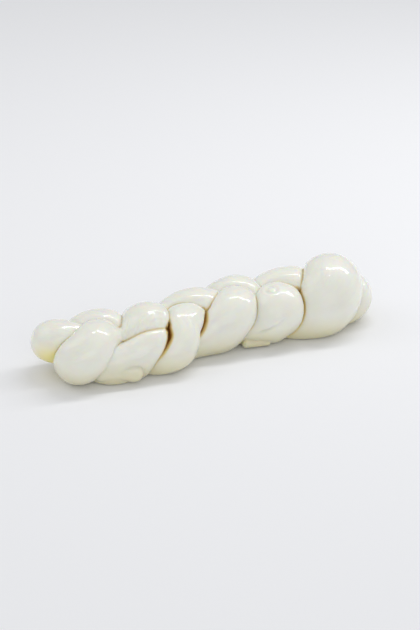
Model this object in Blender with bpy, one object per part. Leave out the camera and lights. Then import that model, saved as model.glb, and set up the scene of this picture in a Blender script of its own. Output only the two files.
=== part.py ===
# Braided string cheese: three fat strands of stretched curd, plaited while warm
# and pressed together, so that the whole braid is one solid piece.
# Metres, +Z up. The braid lies along X, flat spots of its lobes on Z = 0.

import math

import bmesh
import bpy
import numpy as np

MM = 0.001

# The regular plait. Strand s passes x = LOBE_PITCH * (3 * turn + s) on its way to the right:
# over the top from the far side at turn 0.25 to 0.5, round the near side at turn 0.75 to 1.
LOBE_PITCH = 35.0 * MM  # from one lobe to the next along the braid
FAR_LAG = 10.0 * MM  # how far the far row of lobes is pushed back to the left
STRAND_RADIUS = 18.2 * MM
SWING = 10.5 * MM  # how far a strand swings to each side of the middle
LIFT = 5.0 * MM  # how far it rises where it crosses over, and dips where it goes under
AXIS_HEIGHT = 20.8 * MM
STRAND_TURNS = ((0.71, 2.73), (0.37, 2.22), (0.27, 2.00))  # where each strand starts and ends
MIDDLE = 4.95  # the plait's middle, in lobe pitches from strand 0's turn 0

# The braid's thickness and sideways bend along its length: place on X, value.
GIRTH = ((-120 * MM, 0.92), (-60 * MM, 0.97), (-10 * MM, 0.90), (40 * MM, 0.90), (100 * MM, 1.05))
BEND = ((-120 * MM, -3 * MM), (-40 * MM, -5 * MM), (20 * MM, 1 * MM), (100 * MM, 1 * MM))

# How single lobes differ from the regular plait, since each was pulled and folded by hand:
# strand, turn, reach in turns, shift along X, Y and Z in millimetres, share that it is fatter.
LOBES = (
    (1, 0.36, 0.26, 0, 3, -2, -0.17),  # blunt left end, behind
    (2, 0.36, 0.30, 2, 0, -3, -0.04),  # first far lobe
    (2, 0.53, 0.15, -11, 1, -7, -0.12),  # its end, tucked down
    (0, 0.74, 0.20, 2, -2, -1, -0.02),  # left end, in front
    (0, 0.92, 0.16, -2, 0, 0, -0.10),  # its upper half, narrower
    (1, 0.62, 0.10, 0, -5, -4, -0.09),  # start of the second near lobe, from under the first
    (1, 0.73, 0.14, 0, -1, -4, -0.06),  # left half of the second near lobe, pushed down
    (1, 0.82, 0.24, 0, -3, -6, -0.10),  # second near lobe, pushed down by the next one
    (1, 0.93, 0.12, 3, -2, -1, 0.07),  # its right half, which climbs
    (1, 1.05, 0.12, -3, -1, -10, -0.24),  # where it dives again
    (0, 1.22, 0.16, -1, -11, -10, 0.10),  # left shoulder of the second far lobe, which hangs low
    (0, 1.36, 0.20, -4, -9, 0, 0.13),  # second far lobe, folded over to the near side
    (0, 1.49, 0.13, -12, 0, -9, -0.12),  # its end, which dives steeply
    (2, 0.69, 0.16, 2, -8, -3, -0.10),  # foot of the third near lobe
    (2, 0.76, 0.09, 3, -1, 0, 0.06),  # its waist
    (2, 0.84, 0.28, -9, 0, 1, -0.13),  # third near lobe, the narrowest
    (1, 1.39, 0.26, 0, 0, 1, -0.02),  # third far lobe
    (0, 1.67, 0.18, 6, 1, 0, 0.06),  # foot of the fourth near lobe
    (0, 1.86, 0.26, -2, 0, 0, 0.13),  # fourth near lobe
    (2, 1.36, 0.22, 2, 1, 2, 0.03),  # fourth far lobe
    (2, 1.52, 0.20, -7, 0, -4, -0.08),  # its end
    (1, 1.68, 0.18, 6, 0, -1, 0.00),  # foot of the fifth near lobe
    (1, 1.86, 0.28, -1, -2, -3, 0.15),  # fifth near lobe
    (1, 1.79, 0.10, -2, -1, 3, 0.02),  # its left shoulder, pulled up
    (1, 1.98, 0.14, -1, -1, -7, -0.07),  # its top, which slopes down to the right
    (0, 2.39, 0.26, 0, 0, -1, -0.02),  # fifth far lobe
    (1, 2.30, 0.20, 0, 0, -6, -0.10),  # tail hidden under the big fold
    (2, 1.68, 0.25, 9, 0, -3, 0.06),  # foot of the big fold at the right end
    (2, 1.86, 0.28, 2, 1, 1, 0.29),  # the big fold, over the whole width
    (2, 1.86, 0.12, 0, 0, 0, -0.035),  # flattened on top
    (2, 2.00, 0.12, -3, 0, 2, -0.02),  # where it is tucked in again
    (0, 2.72, 0.30, -1, 6, -3, -0.06),  # small round end behind it
)

RINGS = 220  # rings along a strand
SIDES = 28  # corners of a ring
CAP_RINGS = 7  # rings on each rounded end
VOXEL = 1.5 * MM  # grain at which the three strands are fused into one skin
SEAM_DEPTH = 2.4 * MM  # how much deeper than the fused tubes a seam between lobes runs
SEAM_REACH = 3.2 * MM  # how far its soft shoulders reach
SOFTENING = 12  # rounds of smoothing, which take the grain out of the tightest creases
SKIN_SHARE = 0.18  # share of the fused skin's faces that is kept
CUT_SIZE = 0.4
CUT_DEPTH = 0.05

CHEESE_COLOUR = (0.80, 0.78, 0.66, 1.0)
CHEESE_ROUGHNESS = 0.3


def clear_scene():
    for obj in list(bpy.data.objects):
        bpy.data.objects.remove(obj)


def ease(share):
    share = np.clip(share, 0, 1)
    return share * share * (3 - 2 * share)


def read_along(x, stations):
    """The value at x, eased from one station to the next."""
    value = np.full(x.shape, stations[0][1])
    for (start, before), (end, after) in zip(stations, stations[1:]):
        value += (after - before) * ease((x - start) / (end - start))
    return value


def strand_line(strand):
    """Centres and radii along one strand."""
    turn = np.linspace(*STRAND_TURNS[strand], RINGS)
    swing = np.sin(2 * math.pi * turn)
    x = LOBE_PITCH * (3 * turn + strand - MIDDLE) - FAR_LAG * (1 + swing) / 2
    y = SWING * swing
    z = AXIS_HEIGHT - LIFT * np.sin(4 * math.pi * turn)
    centres = np.stack([x, y, z], axis=1)
    radii = np.full(RINGS, STRAND_RADIUS)
    for owner, place, reach, dx, dy, dz, fatter in LOBES:
        if owner == strand:
            share = ease(1 - np.abs(turn - place) / reach)
            centres += np.outer(share, (dx, dy, dz)) * MM
            radii *= 1 + fatter * share
    girth = read_along(centres[:, 0], GIRTH)
    centres[:, 1] = centres[:, 1] * girth + read_along(centres[:, 0], BEND)
    centres[:, 2] *= girth
    return centres, radii * girth


def rounded_ends(centres, radii):
    """The line with a half ball added at each end, as rings that close to a point."""
    rise = np.linspace(0, math.pi / 2, CAP_RINGS + 1)[1:-1]
    lines = []
    for end, inner in ((0, 1), (-1, -2)):
        outward = centres[end] - centres[inner]
        outward /= np.linalg.norm(outward)
        line = centres[end] + np.outer(np.sin(rise) * radii[end], outward)
        tip = centres[end] + radii[end] * outward
        lines.append((line, radii[end] * np.cos(rise), tip))
    (head, head_radii, head_tip), (tail, tail_radii, tail_tip) = lines
    centres = np.concatenate([head[::-1], centres, tail])
    radii = np.concatenate([head_radii[::-1], radii, tail_radii])
    return centres, radii, head_tip, tail_tip


def add_strand(mesh, strand):
    """One closed tube with rounded ends, in the bmesh given."""
    centres, radii, head_tip, tail_tip = rounded_ends(*strand_line(strand))
    along = np.gradient(centres, axis=0)
    along /= np.linalg.norm(along, axis=1)[:, None]
    side = np.cross((0, 0, 1), along)
    side /= np.linalg.norm(side, axis=1)[:, None]
    up = np.cross(along, side)
    angles = np.arange(SIDES) * 2 * math.pi / SIDES
    rings = []
    for centre, radius, across, above in zip(centres, radii, side, up):
        points = [centre + radius * (math.cos(a) * across + math.sin(a) * above) for a in angles]
        rings.append([mesh.verts.new(point) for point in points])
    for ring, after in zip(rings, rings[1:]):
        for i in range(SIDES):
            j = (i + 1) % SIDES
            mesh.faces.new((ring[i], ring[j], after[j], after[i]))
    for ring, tip in ((rings[0], head_tip), (rings[-1], tail_tip)):
        point = mesh.verts.new(tip)
        for i in range(SIDES):
            mesh.faces.new((ring[i], ring[(i + 1) % SIDES], point))


def strands_mesh():
    mesh = bmesh.new()
    for strand in range(len(STRAND_TURNS)):
        add_strand(mesh, strand)
    bmesh.ops.recalc_face_normals(mesh, faces=mesh.faces)
    data = bpy.data.meshes.new("strands")
    mesh.to_mesh(data)
    mesh.free()
    return data


def fused_mesh():
    """The three tubes as one skin, by way of a voxel remesh."""
    strands = bpy.data.objects.new("strands", strands_mesh())
    bpy.context.scene.collection.objects.link(strands)
    fuse = strands.modifiers.new("fuse strands", "REMESH")
    fuse.mode = "VOXEL"
    fuse.voxel_size = VOXEL
    graph = bpy.context.evaluated_depsgraph_get()
    data = bpy.data.meshes.new_from_object(strands.evaluated_get(graph))
    data.name = "cheese_braid"
    bpy.data.objects.remove(strands)
    return data


def distance_to_strand(points, strand):
    """How far each point is outside one strand's round skin."""
    centres, radii = strand_line(strand)
    nearest = np.full(len(points), math.inf)
    for start, end, thin, thick in zip(centres, centres[1:], radii, radii[1:]):
        step = end - start
        share = np.clip((points - start) @ step / (step @ step), 0, 1)
        gaps = np.linalg.norm(points - start - np.outer(share, step), axis=1)
        nearest = np.minimum(nearest, gaps - thin - share * (thick - thin))
    return nearest


def press_seams(data):
    """Draws the skin in along the lines where two strands meet."""
    points = np.empty(len(data.vertices) * 3)
    normals = np.empty(len(data.vertices) * 3)
    data.vertices.foreach_get("co", points)
    data.vertices.foreach_get("normal", normals)
    points = points.reshape(-1, 3)
    distances = [distance_to_strand(points, strand) for strand in range(len(STRAND_TURNS))]
    nearest, second = np.sort(distances, axis=0)[:2]
    depth = SEAM_DEPTH * np.exp(-(((second - nearest) / SEAM_REACH) ** 2))
    points -= normals.reshape(-1, 3) * depth[:, None]
    middle = (points.min(axis=0) + points.max(axis=0)) / 2
    points[:, :2] -= middle[:2]
    data.vertices.foreach_set("co", points.ravel())


def add_base_cutter():
    """A block under Z = 0, which flattens the lobes where the soft cheese lies on its board."""
    mesh = bmesh.new()
    bmesh.ops.create_cube(mesh, size=1)
    bmesh.ops.scale(mesh, verts=mesh.verts, vec=(CUT_SIZE, CUT_SIZE, CUT_DEPTH))
    bmesh.ops.translate(mesh, verts=mesh.verts, vec=(0, 0, -CUT_DEPTH / 2))
    data = bpy.data.meshes.new("base_cutter")
    mesh.to_mesh(data)
    mesh.free()
    cutter = bpy.data.objects.new("base_cutter", data)
    bpy.context.scene.collection.objects.link(cutter)
    cutter.hide_render = True
    cutter.display_type = "WIRE"
    return cutter


def cheese_material():
    material = bpy.data.materials.new("stretched_curd")
    material.use_nodes = True
    shader = material.node_tree.nodes["Principled BSDF"]
    shader.inputs["Base Color"].default_value = CHEESE_COLOUR
    shader.inputs["Roughness"].default_value = CHEESE_ROUGHNESS
    shader.inputs["Metallic"].default_value = 0.0
    material.diffuse_color = CHEESE_COLOUR
    return material


def add_braid():
    """The fused skin, softened, thinned to larger facets and flat underneath."""
    data = fused_mesh()
    press_seams(data)
    data.materials.clear()
    data.materials.append(cheese_material())
    data.shade_smooth()
    braid = bpy.data.objects.new("cheese_braid", data)
    bpy.context.scene.collection.objects.link(braid)
    soften = braid.modifiers.new("soft creases", "SMOOTH")
    soften.iterations = SOFTENING
    thin = braid.modifiers.new("fewer facets", "DECIMATE")
    thin.ratio = SKIN_SHARE
    flatten = braid.modifiers.new("flat base", "BOOLEAN")
    flatten.operation = "DIFFERENCE"
    flatten.object = add_base_cutter()
    return braid


clear_scene()
add_braid()
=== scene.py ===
# Braided string cheese: three fat strands of warm stretched curd, plaited and pressed into one piece.
# Blender works in metres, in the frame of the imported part. The plait itself is worked out in
# millimetres: x along the braid, y across it to the back row of lobes, z up from the board.

import math

import bpy
import numpy as np
import openvdb
from mathutils import Matrix, Vector, noise


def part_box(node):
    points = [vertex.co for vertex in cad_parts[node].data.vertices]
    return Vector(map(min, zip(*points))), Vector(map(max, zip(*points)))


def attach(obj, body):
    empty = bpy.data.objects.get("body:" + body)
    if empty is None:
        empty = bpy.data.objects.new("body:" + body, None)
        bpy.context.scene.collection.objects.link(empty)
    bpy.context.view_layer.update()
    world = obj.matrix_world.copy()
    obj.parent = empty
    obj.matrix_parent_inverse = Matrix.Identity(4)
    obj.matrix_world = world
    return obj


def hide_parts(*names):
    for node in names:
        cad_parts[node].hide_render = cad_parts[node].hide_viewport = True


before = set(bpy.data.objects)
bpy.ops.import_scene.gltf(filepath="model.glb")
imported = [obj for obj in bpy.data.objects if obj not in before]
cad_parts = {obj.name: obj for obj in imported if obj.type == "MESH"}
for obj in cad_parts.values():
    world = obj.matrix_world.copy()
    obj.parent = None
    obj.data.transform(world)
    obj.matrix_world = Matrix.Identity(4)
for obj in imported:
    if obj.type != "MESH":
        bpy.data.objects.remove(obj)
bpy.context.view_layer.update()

mm = 0.001

# The plait. Strand s passes x = lobePitch * (3 * turn + s) on its way to the right: over the top from
# the back at turn 0.25 to 0.5, then round the front at turn 0.75 to 1. Lengths are in mm.
braid = {
    "lobePitch": 35.0,  # from one lobe to the next along the braid
    "backLag": 10.0,  # how far the back row of lobes is pushed to the left
    "strandRadius": 18.2,
    "swing": 10.5,  # how far a strand swings to each side of the middle
    "lift": 5.0,  # how far it rises where it crosses over and dips where it goes under
    "axisHeight": 20.8,
    "middle": 4.95,  # the plait's middle, in lobe pitches from strand 0's turn 0
    "strandTurns": ((0.71, 2.73), (0.37, 2.22), (0.27, 2.00)),  # where each strand starts and ends
    "girth": ((-120, 0.92), (-60, 0.97), (-10, 0.90), (40, 0.90), (100, 1.05)),  # x, thickness
    "bend": ((-120, -3), (-40, -5), (20, 1), (100, 1)),  # x, how far it lies to the back
    "bendBlend": 1.2,  # how softly a strand fills the inside of its own bends
    "seamHalfWidth": 0.12,  # half the gap between two lobes at the skin
    "seamClosing": 0.12,  # how much of that is lost with each mm of depth, until the curd is fused
    "seamDepth": 9.0,  # no gap goes deeper
    "seamFloor": 2.0,  # how softly a gap rounds out at that depth
    "seamReach": 3.0,  # how far beyond the two nearest strands a row of the seams table still counts
    "rollFusing": 0.4,  # what is taken off half a gap's width beside the small rolls
    "rollFusingReach": 8.0,
    "shoulder": 2.6,  # how softly a lobe's face rounds into a seam
    "baseRounding": 2.2,  # and into the flat spots that the board has pressed
    "grain": 0.55,  # voxel size
    "quickGrain": 0.9,
    "coarser": 4,  # the strands are measured at every fourth voxel only, and read smoothly between
    "space": ((-128.0, -42.0, -6.0), (142.0, 38.0, 62.0)),  # corners of the space that is measured
    "mostTriangles": 190000,
}

# How single lobes differ from the regular plait, since each was pulled and folded by hand:
# strand, turn, reach in turns, shift along x, y and z, share that it is fatter.
lobes = (
    (1, 0.36, 0.26, 0, 3, -2, -0.17),  # blunt left end, behind
    (2, 0.36, 0.30, 2, 0, -3, -0.04),  # first back lobe
    (2, 0.53, 0.15, -11, 1, -7, -0.12),  # its end, tucked down
    (0, 0.74, 0.20, 2, -2, -1, -0.02),  # left end, in front
    (0, 0.92, 0.16, -2, 0, 0, -0.10),  # its upper half, narrower
    (1, 0.62, 0.10, 0, -5, -4, -0.09),  # start of the second front lobe, from under the first
    (1, 0.73, 0.14, 0, -1, -4, -0.06),  # left half of the second front lobe, pushed down
    (1, 0.82, 0.24, 0, -3, -6, -0.10),  # second front lobe, pushed down by the next one
    (1, 0.93, 0.12, 3, -2, -1, 0.07),  # its right half, which climbs
    (1, 1.05, 0.12, -3, -1, -10, -0.24),  # where it dives again
    (0, 1.22, 0.16, -1, -11, -10, 0.10),  # left shoulder of the second back lobe, which hangs low
    (0, 1.36, 0.20, -4, -9, 0, 0.13),  # second back lobe, folded over to the front
    (0, 1.49, 0.13, -12, 0, -9, -0.12),  # its end, which dives steeply
    (2, 0.69, 0.16, 2, -8, -3, -0.10),  # foot of the third front lobe
    (2, 0.76, 0.09, 3, -1, 0, 0.06),  # its waist
    (2, 0.84, 0.28, -9, 0, 1, -0.13),  # third front lobe, the narrowest
    (1, 1.39, 0.26, 0, 0, 1, -0.02),  # third back lobe
    (0, 1.67, 0.18, 6, 1, 0, 0.06),  # foot of the fourth front lobe
    (0, 1.86, 0.26, -2, 0, 0, 0.13),  # fourth front lobe
    (2, 1.36, 0.22, 2, 1, 2, 0.03),  # fourth back lobe
    (2, 1.52, 0.20, -7, 0, -4, -0.08),  # its end
    (1, 1.68, 0.18, 6, 0, -1, 0.00),  # foot of the fifth front lobe
    (1, 1.86, 0.28, -1, -2, -3, 0.15),  # fifth front lobe
    (1, 1.79, 0.10, -2, -1, 3, 0.02),  # its left shoulder, pulled up
    (1, 1.98, 0.14, -1, -1, -7, -0.07),  # its top, which slopes down to the right
    (0, 2.39, 0.26, 0, 0, -1, -0.02),  # fifth back lobe
    (1, 2.30, 0.20, 0, 0, -6, -0.10),  # tail hidden under the big fold
    (2, 1.68, 0.25, 9, 0, -3, 0.06),  # foot of the big fold at the right end
    (2, 1.86, 0.28, 2, 1, 1, 0.29),  # the big fold, over the whole width
    (2, 1.86, 0.12, 0, 0, 0, -0.035),  # flattened on top
    (2, 2.00, 0.12, -3, 0, 2, -0.02),  # where it is tucked in again
    (0, 2.72, 0.30, -1, 6, -3, -0.06),  # small round end behind it
)

# Seams that gape or have fused more than the rest, where lobe meets lobe: strand and turn of the
# one, strand and turn of the other, reach in turns, and what is added to half the gap's width.
seams = (
    (1, 0.36, 2, 0.36, 0.25, -0.9),  # blunt left end and first back lobe
    (0, 0.94, 2, 0.36, 0.20, -0.3),  # first front lobe and first back lobe
    (0, 0.86, 1, 0.61, 0.15, -0.2),  # first and second front lobes, upper half
    (0, 0.74, 1, 0.62, 0.15, -0.9),  # lower half
    (0, 1.34, 1, 0.87, 0.20, -0.03),  # second front lobe and the back lobe folded over it
    (1, 0.93, 2, 0.81, 0.12, 0.5),  # the gape left of the third front lobe
    (1, 0.91, 2, 0.76, 0.08, 0.35),
    (1, 0.89, 2, 0.71, 0.09, 0.6),
    (1, 1.25, 2, 0.92, 0.12, 0.7),  # pocket at the top of the gape
    (2, 0.93, 0, 1.62, 0.15, 0.5),  # third and fourth front lobes, upper half
    (1, 1.33, 2, 0.91, 0.12, -0.3),  # third front lobe and third back lobe
    (1, 1.43, 0, 1.74, 0.12, 0.1),
    (0, 1.90, 2, 1.34, 0.15, -0.3),  # fourth front lobe and fourth back lobe
    (0, 1.94, 1, 1.70, 0.10, -0.12),  # fourth and fifth front lobes
    (0, 2.40, 1, 1.90, 0.15, 0.3),  # fifth front lobe and fifth back lobe
    (0, 2.43, 2, 1.85, 0.15, 0.1),
    (1, 1.93, 2, 1.78, 0.15, 0.55),  # fifth front lobe and the big fold, upper half
    (1, 1.85, 2, 1.66, 0.10, 0.3),
    (2, 1.86, 0, 2.72, 0.30, -0.5),  # the big fold and the small round end
)

# Short rolls of curd squeezed out under the front lobes: start, end, radius.
rolls = (
    ((-82, -22, 10), (-62.5, -27.5, 8.5), 8.3),
    ((27, -16.5, 5), (41, -18.5, 4.5), 4.5),
)

# Whey-yellow patches, where the skin was pressed and dried: strand, middle, reach, strength.
stains = (
    (1, (-112, -8, 9), 27, 1.0),  # under the blunt left end
)

# Faint folds in the skin: strand, turn and angle where it starts, the same where it ends, depth,
# half width. The angle goes round the strand from the back (0) over the top (90) to the front (180).
folds = (
    (0, (1.24, 140), (1.36, 112), 0.3, 0.9),
    (0, (1.22, 120), (1.33, 90), 0.25, 0.8),
    (0, (1.28, 150), (1.40, 125), 0.2, 0.8),
    (0, (1.369, 112), (1.366, 150), 0.6, 0.5),  # where the second back lobe turns down
)

# Creases that cross a lobe: points on the way, depth, half width.
creases = (
    (((29, -21, 12), (39, -26.5, 17.5), (50, -29, 26)), 1.1, 1.1),  # low on the fifth front lobe
)

# Pinches, left by a fingertip: middle, radius of the ring, half width, depth.
pinches = (
    ((46.5, -11, 39), 3.6, 1.5, 0.9),  # on the fifth front lobe
)


def ease(share):
    share = np.clip(share, 0, 1)
    return share * share * (3 - 2 * share)


def readAlong(x, stations):
    # the value at x, eased from one station to the next
    value = np.full(x.shape, float(stations[0][1]))
    for (start, before), (end, after) in zip(stations, stations[1:]):
        value += (after - before) * ease((x - start) / (end - start))
    return value


def strandLine(strand, count=110):
    # centres, radii and turns along one strand
    turn = np.linspace(*braid["strandTurns"][strand], count)
    swing = np.sin(2 * math.pi * turn)
    lag = braid["backLag"] * (1 + swing) / 2
    x = braid["lobePitch"] * (3 * turn + strand - braid["middle"]) - lag
    y = braid["swing"] * swing
    z = braid["axisHeight"] - braid["lift"] * np.sin(4 * math.pi * turn)
    centres = np.stack([x, y, z], axis=1)
    radii = np.full(count, braid["strandRadius"])
    for end in (turn[0], turn[-1]):
        # an end has neighbours on one side only, which would blend it thinner
        radii += braid["bendBlend"] * math.log(2) * np.exp(-(((turn - end) / 0.05) ** 2))
    for owner, place, reach, dx, dy, dz, fatter in lobes:
        if owner == strand:
            share = ease(1 - np.abs(turn - place) / reach)
            centres += np.outer(share, (dx, dy, dz))
            radii *= 1 + fatter * share
    girth = readAlong(centres[:, 0], braid["girth"])
    centres[:, 1] = centres[:, 1] * girth + readAlong(centres[:, 0], braid["bend"])
    centres[:, 2] *= girth
    return centres, radii * girth, turn


strandLines = [strandLine(strand) for strand in range(3)]


def outsideStrand(points, strand):
    # how far each point is outside one strand's round skin, and how far along the strand it lies;
    # neighbouring stretches are blended, so that the curd stays smooth inside a tight bend
    centres, radii, turns = strandLines[strand]
    blend = braid["bendBlend"]
    total = np.zeros(len(points))
    place = np.zeros(len(points))
    for i in range(len(centres) - 1):
        step = centres[i + 1] - centres[i]
        share = np.clip((points - centres[i]) @ step / (step @ step), 0, 1)
        radius = radii[i] + share * (radii[i + 1] - radii[i])
        gap = np.linalg.norm(points - centres[i] - np.outer(share, step), axis=1) - radius
        weight = math.sqrt(step @ step) / np.sqrt(2 * math.pi * blend * radius) * np.exp(-gap / blend)
        total += weight
        place += weight * (i + share)
    return -blend * np.log(total), place / total


def readStrands(points):
    return [outsideStrand(points, strand) for strand in range(3)]


def alongStrand(strand, place, values):
    # values given for each station of a strand's line, read between the stations
    return np.interp(place, np.arange(len(strandLines[strand][2])), values)


def outsideRoll(points, roll):
    start, end, radius = (np.array(value, float) for value in roll)
    step = end - start
    share = np.clip((points - start) @ step / (step @ step), 0, 1)
    return np.linalg.norm(points - start - np.outer(share, step), axis=1) - radius


def seamPlaces(points, reading):
    # for each point: how far it is outside every strand and roll, and half the width that a seam
    # through it would have
    gaps = [gap for gap, place in reading]
    turns = [
        alongStrand(strand, place, strandLines[strand][2])
        for strand, (gap, place) in enumerate(reading)
    ]
    second = np.sort(gaps, axis=0)[1]
    halfWidth = np.full(len(points), braid["seamHalfWidth"])
    for one, oneTurn, other, otherTurn, reach, change in seams:
        near = ease(1 - np.abs(turns[one] - oneTurn) / reach)
        near *= ease(1 - np.abs(turns[other] - otherTurn) / reach)
        beyond = np.maximum(gaps[one], gaps[other]) - second
        between = ease(1 - beyond / braid["seamReach"])
        halfWidth += change * near * between
    rollGaps = [outsideRoll(points, roll) for roll in rolls]
    for gap in rollGaps:
        halfWidth -= braid["rollFusing"] * ease(1 - np.abs(gap) / braid["rollFusingReach"])
    return (*gaps, *rollGaps), halfWidth


def slitAt(nearest, second, halfWidth):
    # above 0 inside the gap between two lobes, else minus the distance to its wall
    return (nearest - second) / 2 + halfWidth + braid["seamClosing"] * nearest


def softMax(a, b, rounding):
    return np.maximum(a, b) + np.clip(rounding - np.abs(a - b), 0, None) ** 2 / (4 * rounding)


def softMin(a, b, rounding):
    return -softMax(-a, -b, rounding)


def refine(field, axis, times):
    # a smooth curve through the coarse samples, read at every fine one
    field = np.moveaxis(field, axis, 0)
    first = 2 * field[:1] - field[1:2]
    last = 2 * field[-1:] - field[-2:-1]
    padded = np.concatenate([first, field, last])
    count = len(field)
    fine = np.empty(((count - 1) * times + 1,) + field.shape[1:], np.float32)
    for i in range(times):
        t = i / times
        weights = (
            (-t + 2 * t**2 - t**3) / 2,
            (2 - 5 * t**2 + 3 * t**3) / 2,
            (t + 4 * t**2 - 3 * t**3) / 2,
            (t**3 - t**2) / 2,
        )
        fine[i : (count - 1) * times : times] = sum(
            weight * padded[j : j + count - 1] for j, weight in enumerate(weights)
        )
    fine[-1] = field[-1]
    return np.moveaxis(fine, 0, axis)


def seamField():
    # how far each voxel is outside the fused braid, with the slits between its lobes left open
    grain = braid["grain"]
    times = braid["coarser"]
    low, high = (np.array(corner) for corner in braid["space"])
    counts = np.ceil((high - low) / (grain * times)).astype(int) + 1
    axes = [low[i] + grain * times * np.arange(counts[i]) for i in range(3)]
    points = np.stack(np.meshgrid(*axes, indexing="ij"), axis=-1).reshape(-1, 3)

    def fine(values):
        values = values.reshape(counts).astype(np.float32)
        for axis in range(3):
            values = refine(values, axis, times)
        return values

    gaps, halfWidth = seamPlaces(points, readStrands(points))
    nearest, second = np.sort(np.stack([fine(gap) for gap in gaps]), axis=0)[:2]
    slit = slitAt(nearest, second, fine(halfWidth))
    field = softMax(nearest, slit, braid["shoulder"])
    field = softMin(field, nearest + braid["seamDepth"], braid["seamFloor"])
    height = low[2] + grain * np.arange(field.shape[2], dtype=np.float32)
    field = softMax(field, np.broadcast_to(-height, field.shape), braid["baseRounding"])
    return field, low, grain


def largestPiece(points, quads):
    # drops the bubbles that a closing slit can leave inside
    label = np.arange(len(points))
    while True:
        lowest = label[quads].min(axis=1)
        before = label.copy()
        for corner in range(4):
            np.minimum.at(label, quads[:, corner], lowest)
        label = label[label]
        if (label == before).all():
            break
    names, sizes = np.unique(label, return_counts=True)
    keep = label == names[sizes.argmax()]
    number = np.cumsum(keep) - 1
    return points[keep], number[quads[keep[quads[:, 0]]]]


def meshFrom(name, points, quads):
    mesh = bpy.data.meshes.new(name)
    mesh.vertices.add(len(points))
    mesh.vertices.foreach_set("co", points.astype(np.float32).ravel())
    mesh.loops.add(quads.size)
    mesh.loops.foreach_set("vertex_index", quads.astype(np.int32).ravel())
    mesh.polygons.add(len(quads))
    mesh.polygons.foreach_set("loop_start", np.arange(0, quads.size, 4, dtype=np.int32))
    mesh.update(calc_edges=True)
    return mesh


def readVectors(mesh, what):
    values = np.empty(len(mesh.vertices) * 3, np.float32)
    mesh.vertices.foreach_get(what, values)
    return values.reshape(-1, 3).astype(float)


def skinMesh():
    field, low, grain = seamField()
    grid = openvdb.FloatGrid(5.0)
    grid.copyFromArray(np.ascontiguousarray(field, np.float32))
    points, quads = grid.convertToQuads(isovalue=0.0)
    points, quads = largestPiece(points * grain + low, quads)
    print("braid skin:", len(points), "points,", len(quads), "quads")
    return meshFrom("skin", points, quads)


# What pulling and folding leaves on each strand. Depths and distances are in mm.
surface = {
    "unevenness": 0.45,  # depth of the broad swells
    "unevenSize": 26.0,  # and how far apart they are
    "dimpling": 0.10,  # the same for the small ones
    "dimpleSize": 7.0,
    "fluteDepth": 0.30,  # shallow flutes that run along a strand
    "fluteWidth": 7.0,
    "fluteLength": 60.0,
    "fibreDepth": 0.07,  # the finest ones that the mesh can hold
    "fibreWidth": 2.2,
    "fibreLength": 35.0,
    "creaseFade": 8.0,  # over what length a crease fades at its ends
    "pressedHeight": 3.0,  # below this the board has pressed the skin smooth
    "creviceShadeReach": 0.5,  # how far from a gap's wall its painted shade spreads
    "creviceShadeDepth": 1.6,  # how deep below the round skin that painted shade is full
}


def ownPlaces(points, reading):
    # for each point: the strand it is on, how far it is outside that strand's round skin, its turn,
    # and its place on the strand as if that were laid out straight
    distances = np.stack([gap for gap, place in reading])
    owner = np.argsort(distances, axis=0)[0]
    nearest = distances[owner, np.arange(len(points))]
    straight = np.zeros((len(points), 3))
    turns = np.zeros(len(points))
    for strand in range(3):
        mine = owner == strand
        centres, radii, turn = strandLines[strand]
        place = reading[strand][1][mine]
        step = np.gradient(centres, axis=0)
        step /= np.linalg.norm(step, axis=1)[:, None]
        side = np.cross((0, 0, 1), step)
        side /= np.linalg.norm(side, axis=1)[:, None]
        up = np.cross(step, side)
        stretches = np.linalg.norm(np.diff(centres, axis=0), axis=1)
        length = np.concatenate([[0], np.cumsum(stretches)])
        centre, across, above = (
            np.stack([alongStrand(strand, place, column) for column in values.T], axis=1)
            for values in (centres, side, up)
        )
        offset = points[mine] - centre
        # each strand starts 500 mm further on, so that it has fibres of its own
        straight[mine, 0] = alongStrand(strand, place, length) + 500 * strand
        straight[mine, 1] = (offset * across).sum(axis=1)
        straight[mine, 2] = (offset * above).sum(axis=1)
        turns[mine] = alongStrand(strand, place, turn)
    return owner, nearest, turns, straight


def grainAt(points, length, width):
    # soft noise stretched along the strand
    scaled = points / (length, width, width)
    return np.array([noise.noise(Vector(point)) for point in scaled])


def foldAt(turns, straight, start, end, halfWidth):
    # 1 in the middle of a fold, fading to its sides and ends
    (startTurn, startAngle), (endTurn, endAngle) = start, end
    angle = np.degrees(np.arctan2(straight[:, 2], straight[:, 1])) % 360
    radius = np.hypot(straight[:, 1], straight[:, 2])
    along = (turns - startTurn) * 3 * braid["lobePitch"]
    around = np.radians(angle - startAngle) * radius
    foldAlong = (endTurn - startTurn) * 3 * braid["lobePitch"]
    foldAround = np.radians(endAngle - startAngle) * radius
    share = (along * foldAlong + around * foldAround) / (foldAlong**2 + foldAround**2)
    share = np.clip(share, 0, 1)
    off = np.hypot(along - share * foldAlong, around - share * foldAround)
    return np.exp(-((off / halfWidth) ** 2)) * ease(8 * share * (1 - share))


def creaseAt(points, line, halfWidth):
    # 1 along a crease from point to point, fading towards its two ends
    off = np.min([outsideRoll(points, (start, end, 0)) for start, end in zip(line, line[1:])], axis=0)
    fromEnd = np.min([np.linalg.norm(points - end, axis=1) for end in (line[0], line[-1])], axis=0)
    return np.exp(-((off / halfWidth) ** 2)) * ease(fromEnd / surface["creaseFade"])


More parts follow.
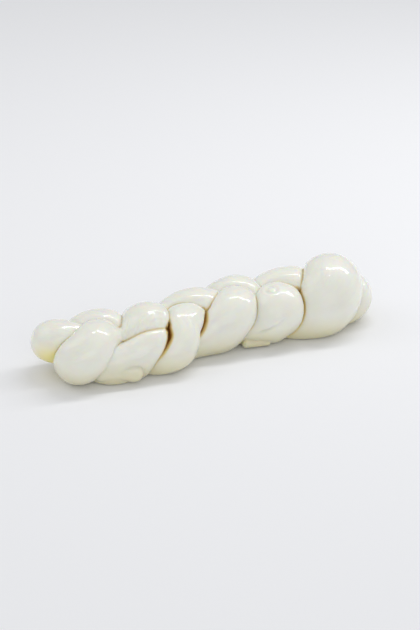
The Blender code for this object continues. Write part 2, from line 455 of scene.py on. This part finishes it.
def addRelief(mesh):
    points = readVectors(mesh, "co")
    normals = readVectors(mesh, "normal")
    owner, nearest, turns, straight = ownPlaces(points, readStrands(points))
    size = surface["unevenSize"]
    height = surface["unevenness"] * grainAt(points, size, size)
    size = surface["dimpleSize"]
    height += surface["dimpling"] * grainAt(points, size, size)
    height += surface["fluteDepth"] * grainAt(straight, surface["fluteLength"], surface["fluteWidth"])
    height += surface["fibreDepth"] * grainAt(straight, surface["fibreLength"], surface["fibreWidth"])
    for strand, start, end, depth, halfWidth in folds:
        height -= depth * (owner == strand) * foldAt(turns, straight, start, end, halfWidth)
    for line, depth, halfWidth in creases:
        height -= depth * creaseAt(points, line, halfWidth)
    for middle, radius, halfWidth, depth in pinches:
        away = np.linalg.norm(points - middle, axis=1)
        height -= depth * np.exp(-(((away - radius) / halfWidth) ** 2))
    height *= ease(points[:, 2] / surface["pressedHeight"])
    points += normals * height[:, None]
    points[:, 2] = np.maximum(points[:, 2], 0)
    mesh.vertices.foreach_set("co", points.astype(np.float32).ravel())
    mesh.update()


def thinned(mesh):
    # fewer, larger triangles where the skin is smooth
    source = bpy.data.objects.new("source", mesh)
    bpy.context.scene.collection.objects.link(source)
    thin = source.modifiers.new("thin", "DECIMATE")
    thin.ratio = min(1, braid["mostTriangles"] / (2 * len(mesh.polygons)))
    graph = bpy.context.evaluated_depsgraph_get()
    result = bpy.data.meshes.new_from_object(source.evaluated_get(graph))
    bpy.data.objects.remove(source)
    return result


def writeAttribute(mesh, name, kind, values):
    attribute = mesh.attributes.new(name, kind, "POINT")
    slot = "vector" if kind == "FLOAT_VECTOR" else "value"
    attribute.data.foreach_set(slot, values.astype(np.float32).ravel())


def markCurd(mesh):
    # what the material reads at each point: its place on the straightened strand, how deep in a gap it
    # is, how much painted shade it gets near a gap, and how much whey has yellowed it
    points = readVectors(mesh, "co")
    reading = readStrands(points)
    owner, nearest, turns, straight = ownPlaces(points, reading)
    writeAttribute(mesh, "straightened", "FLOAT_VECTOR", straight * mm)
    writeAttribute(mesh, "slitDepth", "FLOAT", np.clip(-nearest, 0, None) * mm)
    gaps, halfWidth = seamPlaces(points, reading)
    closest, second = np.sort(gaps, axis=0)[:2]
    slit = slitAt(closest, second, halfWidth)
    creviceShade = ease(1 + slit / surface["creviceShadeReach"]) * ease(-closest / surface["creviceShadeDepth"])
    creviceShade *= ease((halfWidth + 0.5) / 0.8)  # fused seams stay pale
    writeAttribute(mesh, "creviceShade", "FLOAT", creviceShade)
    stained = np.zeros(len(points))
    for strand, middle, reach, strength in stains:
        away = np.linalg.norm(points - middle, axis=1)
        stained += strength * (owner == strand) * ease(1 - away / reach)
    writeAttribute(mesh, "stained", "FLOAT", stained)


def placeInFrame(mesh):
    # millimetres to metres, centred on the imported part's box and standing on z = 0
    points = readVectors(mesh, "co")
    low, high = (np.array(corner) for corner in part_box("cheese_braid"))
    middle = (points.min(axis=0) + points.max(axis=0)) / 2
    points[:, :2] -= middle[:2]
    points *= mm
    points[:, :2] += ((low + high) / 2)[:2]
    mesh.vertices.foreach_set("co", points.astype(np.float32).ravel())
    mesh.update()
    print("braid placed:", (points.max(axis=0) - points.min(axis=0)).round(4), "m")


def makeBraid():
    mesh = skinMesh()
    addRelief(mesh)
    print("relief added")
    mesh = thinned(mesh)
    print("braid thinned to", len(mesh.polygons), "faces")
    markCurd(mesh)
    placeInFrame(mesh)
    mesh.shade_smooth()
    mesh.name = "stretchedCurdBraid"
    piece = bpy.data.objects.new("stretchedCurdBraid", mesh)
    bpy.context.scene.collection.objects.link(piece)
    return piece


def linear(hexColour):
    # sRGB hex to the linear colour that Blender mixes in
    channels = [int(hexColour[i : i + 2], 16) / 255 for i in (1, 3, 5)]
    return tuple(c / 12.92 if c <= 0.04045 else ((c + 0.055) / 1.055) ** 2.4 for c in channels) + (1.0,)


def addNode(tree, kind, inputs=None, **settings):
    # a node with its settings; each input is a value, or the output that feeds it
    node = tree.nodes.new(kind)
    for name, value in settings.items():
        setattr(node, name, value)
    for name, value in (inputs or {}).items():
        if isinstance(value, bpy.types.NodeSocket):
            tree.links.new(value, node.inputs[name])
        else:
            node.inputs[name].default_value = value
    return node


curd = {
    "white": "#F3F4EE",
    "cream": "#EDEDE0",  # mixed with the white in soft patches
    "patchSize": 18.0,  # mm
    "under": "#DCD6B3",  # painted shade and a painted warm reflection: darker and yellower low down
    "underHeight": 24.0,  # mm above the board
    "whey": "#FAE98F",
    # painted shade along the gaps between lobes: yellow near their walls, ochre deeper in
    "creaseShadeYellow": "#E5D291",
    "gapShadeOchre": "#A87022",  # painted shade, deep in a gap
    "gapStart": 1.2,  # mm below the round skin where that begins
    "gapFull": 3.8,
    "fibreLength": 30.0,  # mm
    "fibreSpacing": 1.1,  # mm: real fibres are finer, these are as coarse as they need to be to show
    "fibreBump": 0.12,
    "roughness": 0.4,
    "ior": 1.42,
    "wetness": 1.0,  # how much of the skin has a film of whey
    "wetRoughness": 0.075,
    "wetIor": 1.46,
    "scatterDepth": 3.0,  # mm that light travels inside
    "scatterShares": (1.0, 0.8, 0.5),  # how much of that red, green and blue light go
}


def stretchedCurd():
    # Fresh stretched curd: milk fat and protein kneaded in hot water and drawn out by hand, which
    # leaves fine fibres along each strand. Light scatters deep inside, so it looks soft and slightly
    # translucent, and the film of whey on its skin gives small sharp highlights.
    material = bpy.data.materials.new("stretchedCurd")
    material.use_nodes = True
    tree = material.node_tree
    shader = tree.nodes["Principled BSDF"]
    straight = addNode(tree, "ShaderNodeAttribute", attribute_name="straightened").outputs["Vector"]
    slit = addNode(tree, "ShaderNodeAttribute", attribute_name="slitDepth").outputs["Fac"]
    stained = addNode(tree, "ShaderNodeAttribute", attribute_name="stained").outputs["Fac"]
    creviceShade = addNode(tree, "ShaderNodeAttribute", attribute_name="creviceShade").outputs["Fac"]
    place = addNode(tree, "ShaderNodeTexCoord").outputs["Object"]
    patches = addNode(
        tree,
        "ShaderNodeTexNoise",
        {"Vector": place, "Scale": 1 / (curd["patchSize"] * mm), "Detail": 3.0},
    )
    # a mix node's two colours are its inputs 6 and 7, and the mixed one is its output 2
    tone = addNode(
        tree,
        "ShaderNodeMix",
        {"Factor": patches.outputs["Fac"], 6: linear(curd["white"]), 7: linear(curd["cream"])},
        data_type="RGBA",
    )
    height = addNode(tree, "ShaderNodeSeparateXYZ", {0: place}).outputs["Z"]
    # painted shade: the curd is mixed darker and yellower low down and in the gaps between lobes; the
    # whey patches are real stains
    for colour, value, start, end in (
        ("under", height, curd["underHeight"] * mm, 0),
        ("whey", stained, 0, 1),
        ("creaseShadeYellow", creviceShade, 0, 1),
        ("gapShadeOchre", slit, curd["gapStart"] * mm, curd["gapFull"] * mm),
    ):
        share = addNode(
            tree,
            "ShaderNodeMapRange",
            {"Value": value, "From Min": start, "From Max": end},
            interpolation_type="SMOOTHSTEP",
        )
        tone = addNode(
            tree,
            "ShaderNodeMix",
            {"Factor": share.outputs["Result"], 6: tone.outputs[2], 7: linear(curd[colour])},
            data_type="RGBA",
        )
    along = 1 / (curd["fibreLength"] * mm)
    across = 1 / (curd["fibreSpacing"] * mm)
    fibreSpace = addNode(
        tree,
        "ShaderNodeVectorMath",
        {0: straight, 1: (along, across, across)},
        operation="MULTIPLY",
    )
    fibres = addNode(
        tree,
        "ShaderNodeTexNoise",
        {"Vector": fibreSpace.outputs[0], "Scale": 1.0, "Detail": 3.0},
    )
    bump = addNode(
        tree,
        "ShaderNodeBump",
        {"Height": fibres.outputs["Fac"], "Strength": 1.0, "Distance": curd["fibreBump"] * mm},
    )
    tree.links.new(tone.outputs[2], shader.inputs["Base Color"])
    tree.links.new(bump.outputs["Normal"], shader.inputs["Normal"])
    shader.inputs["Roughness"].default_value = curd["roughness"]
    shader.inputs["IOR"].default_value = curd["ior"]
    shader.inputs["Coat Weight"].default_value = curd["wetness"]
    shader.inputs["Coat Roughness"].default_value = curd["wetRoughness"]
    shader.inputs["Coat IOR"].default_value = curd["wetIor"]
    shader.inputs["Subsurface Weight"].default_value = 1.0
    shader.inputs["Subsurface Radius"].default_value = curd["scatterShares"]
    shader.inputs["Subsurface Scale"].default_value = curd["scatterDepth"] * mm
    return material


piece = makeBraid()
piece.data.materials.clear()
piece.data.materials.append(stretchedCurd())
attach(piece, "root")
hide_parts("cheese_braid")
print("braid painted and set on the root body")

# A plain light studio, in metres and degrees. One long light gives the wet glints, and two broad
# ones soften the shadows.
studio = {
    "floorColour": "#F5F6F9",
    "floorSize": 6.0,
    "floorRoughness": 0.9,
    "floorShine": 0.1,
    "worldColour": "#FFFFFF",
    "worldStrength": 0.55,
    "lensTarget": (0.0, 0.0, 0.024),
    "cameraDistance": 1.2611,
    "cameraAzimuth": -26.69,
    "cameraElevation": 29.20,
    "cameraRoll": 2.43,
    "lens": 106.0,  # mm
    # name, how far right, behind and up as the camera sees it, size, watts, turn
    "lights": (
        ("overheadStrip", 0.38, 0.36, 0.8, (1.1, 0.09), 3.5, 20),  # the small sharp highlights
        ("leftFill", -0.9, 0.0, 0.9, (0.9, 0.7), 1.6, 0),
        ("frontFill", 0.2, -1.3, 0.7, (1.4, 0.8), 3.2, 0),
    ),
}


def makeFloor():
    half = studio["floorSize"] / 2
    mesh = bpy.data.meshes.new("floor")
    corners = [(-half, -half, 0), (half, -half, 0), (half, half, 0), (-half, half, 0)]
    mesh.from_pydata(corners, [], [(0, 1, 2, 3)])
    # Uncoated studio paper, pressed and unglazed: it scatters light evenly and shows no reflection.
    material = bpy.data.materials.new("matteStudioPaper")
    material.use_nodes = True
    shader = material.node_tree.nodes["Principled BSDF"]
    shader.inputs["Base Color"].default_value = linear(studio["floorColour"])
    shader.inputs["Roughness"].default_value = studio["floorRoughness"]
    shader.inputs["Specular IOR Level"].default_value = studio["floorShine"]
    mesh.materials.append(material)
    floor = bpy.data.objects.new("floor", mesh)
    bpy.context.scene.collection.objects.link(floor)


def softbox(name, right, behind, height, size, power, tilt):
    # a lamp that faces the braid, its long side across the view
    azimuth = math.radians(studio["cameraAzimuth"])
    across = Vector((math.cos(azimuth), math.sin(azimuth), 0))
    away = Vector((-math.sin(azimuth), math.cos(azimuth), 0))
    place = across * right + away * behind + Vector((0, 0, height))
    facing = (place - Vector(studio["lensTarget"])).normalized()
    side = (across - facing * across.dot(facing)).normalized()
    side = Matrix.Rotation(math.radians(tilt), 3, facing) @ side
    light = bpy.data.lights.new(name, "AREA")
    light.shape = "RECTANGLE"
    light.size, light.size_y = size
    light.energy = power
    lamp = bpy.data.objects.new(name, light)
    turn = Matrix((side, facing.cross(side), facing)).transposed()
    lamp.matrix_world = Matrix.Translation(place) @ turn.to_4x4()
    bpy.context.scene.collection.objects.link(lamp)


def makeCamera():
    azimuth = math.radians(studio["cameraAzimuth"])
    elevation = math.radians(studio["cameraElevation"])
    roll = math.radians(studio["cameraRoll"])
    back = Vector(
        (
            math.sin(azimuth) * math.cos(elevation),
            -math.cos(azimuth) * math.cos(elevation),
            math.sin(elevation),
        )
    )
    target = Vector(studio["lensTarget"])
    camera = bpy.data.objects.new("camera", bpy.data.cameras.new("camera"))
    turn = (-back).to_track_quat("-Z", "Y").to_matrix() @ Matrix.Rotation(roll, 3, "Z")
    camera.matrix_world = Matrix.Translation(target + back * studio["cameraDistance"]) @ turn.to_4x4()
    camera.data.lens = studio["lens"]
    bpy.context.scene.collection.objects.link(camera)
    bpy.context.scene.camera = camera


def makeStudio():
    makeFloor()
    for light in studio["lights"]:
        softbox(*light)
    world = bpy.data.worlds.new("studio")
    world.use_nodes = True
    background = world.node_tree.nodes["Background"]
    background.inputs["Color"].default_value = linear(studio["worldColour"])
    background.inputs["Strength"].default_value = studio["worldStrength"]
    bpy.context.scene.world = world
    bpy.context.scene.view_settings.view_transform = "Standard"
    makeCamera()


makeStudio()
print("studio ready")
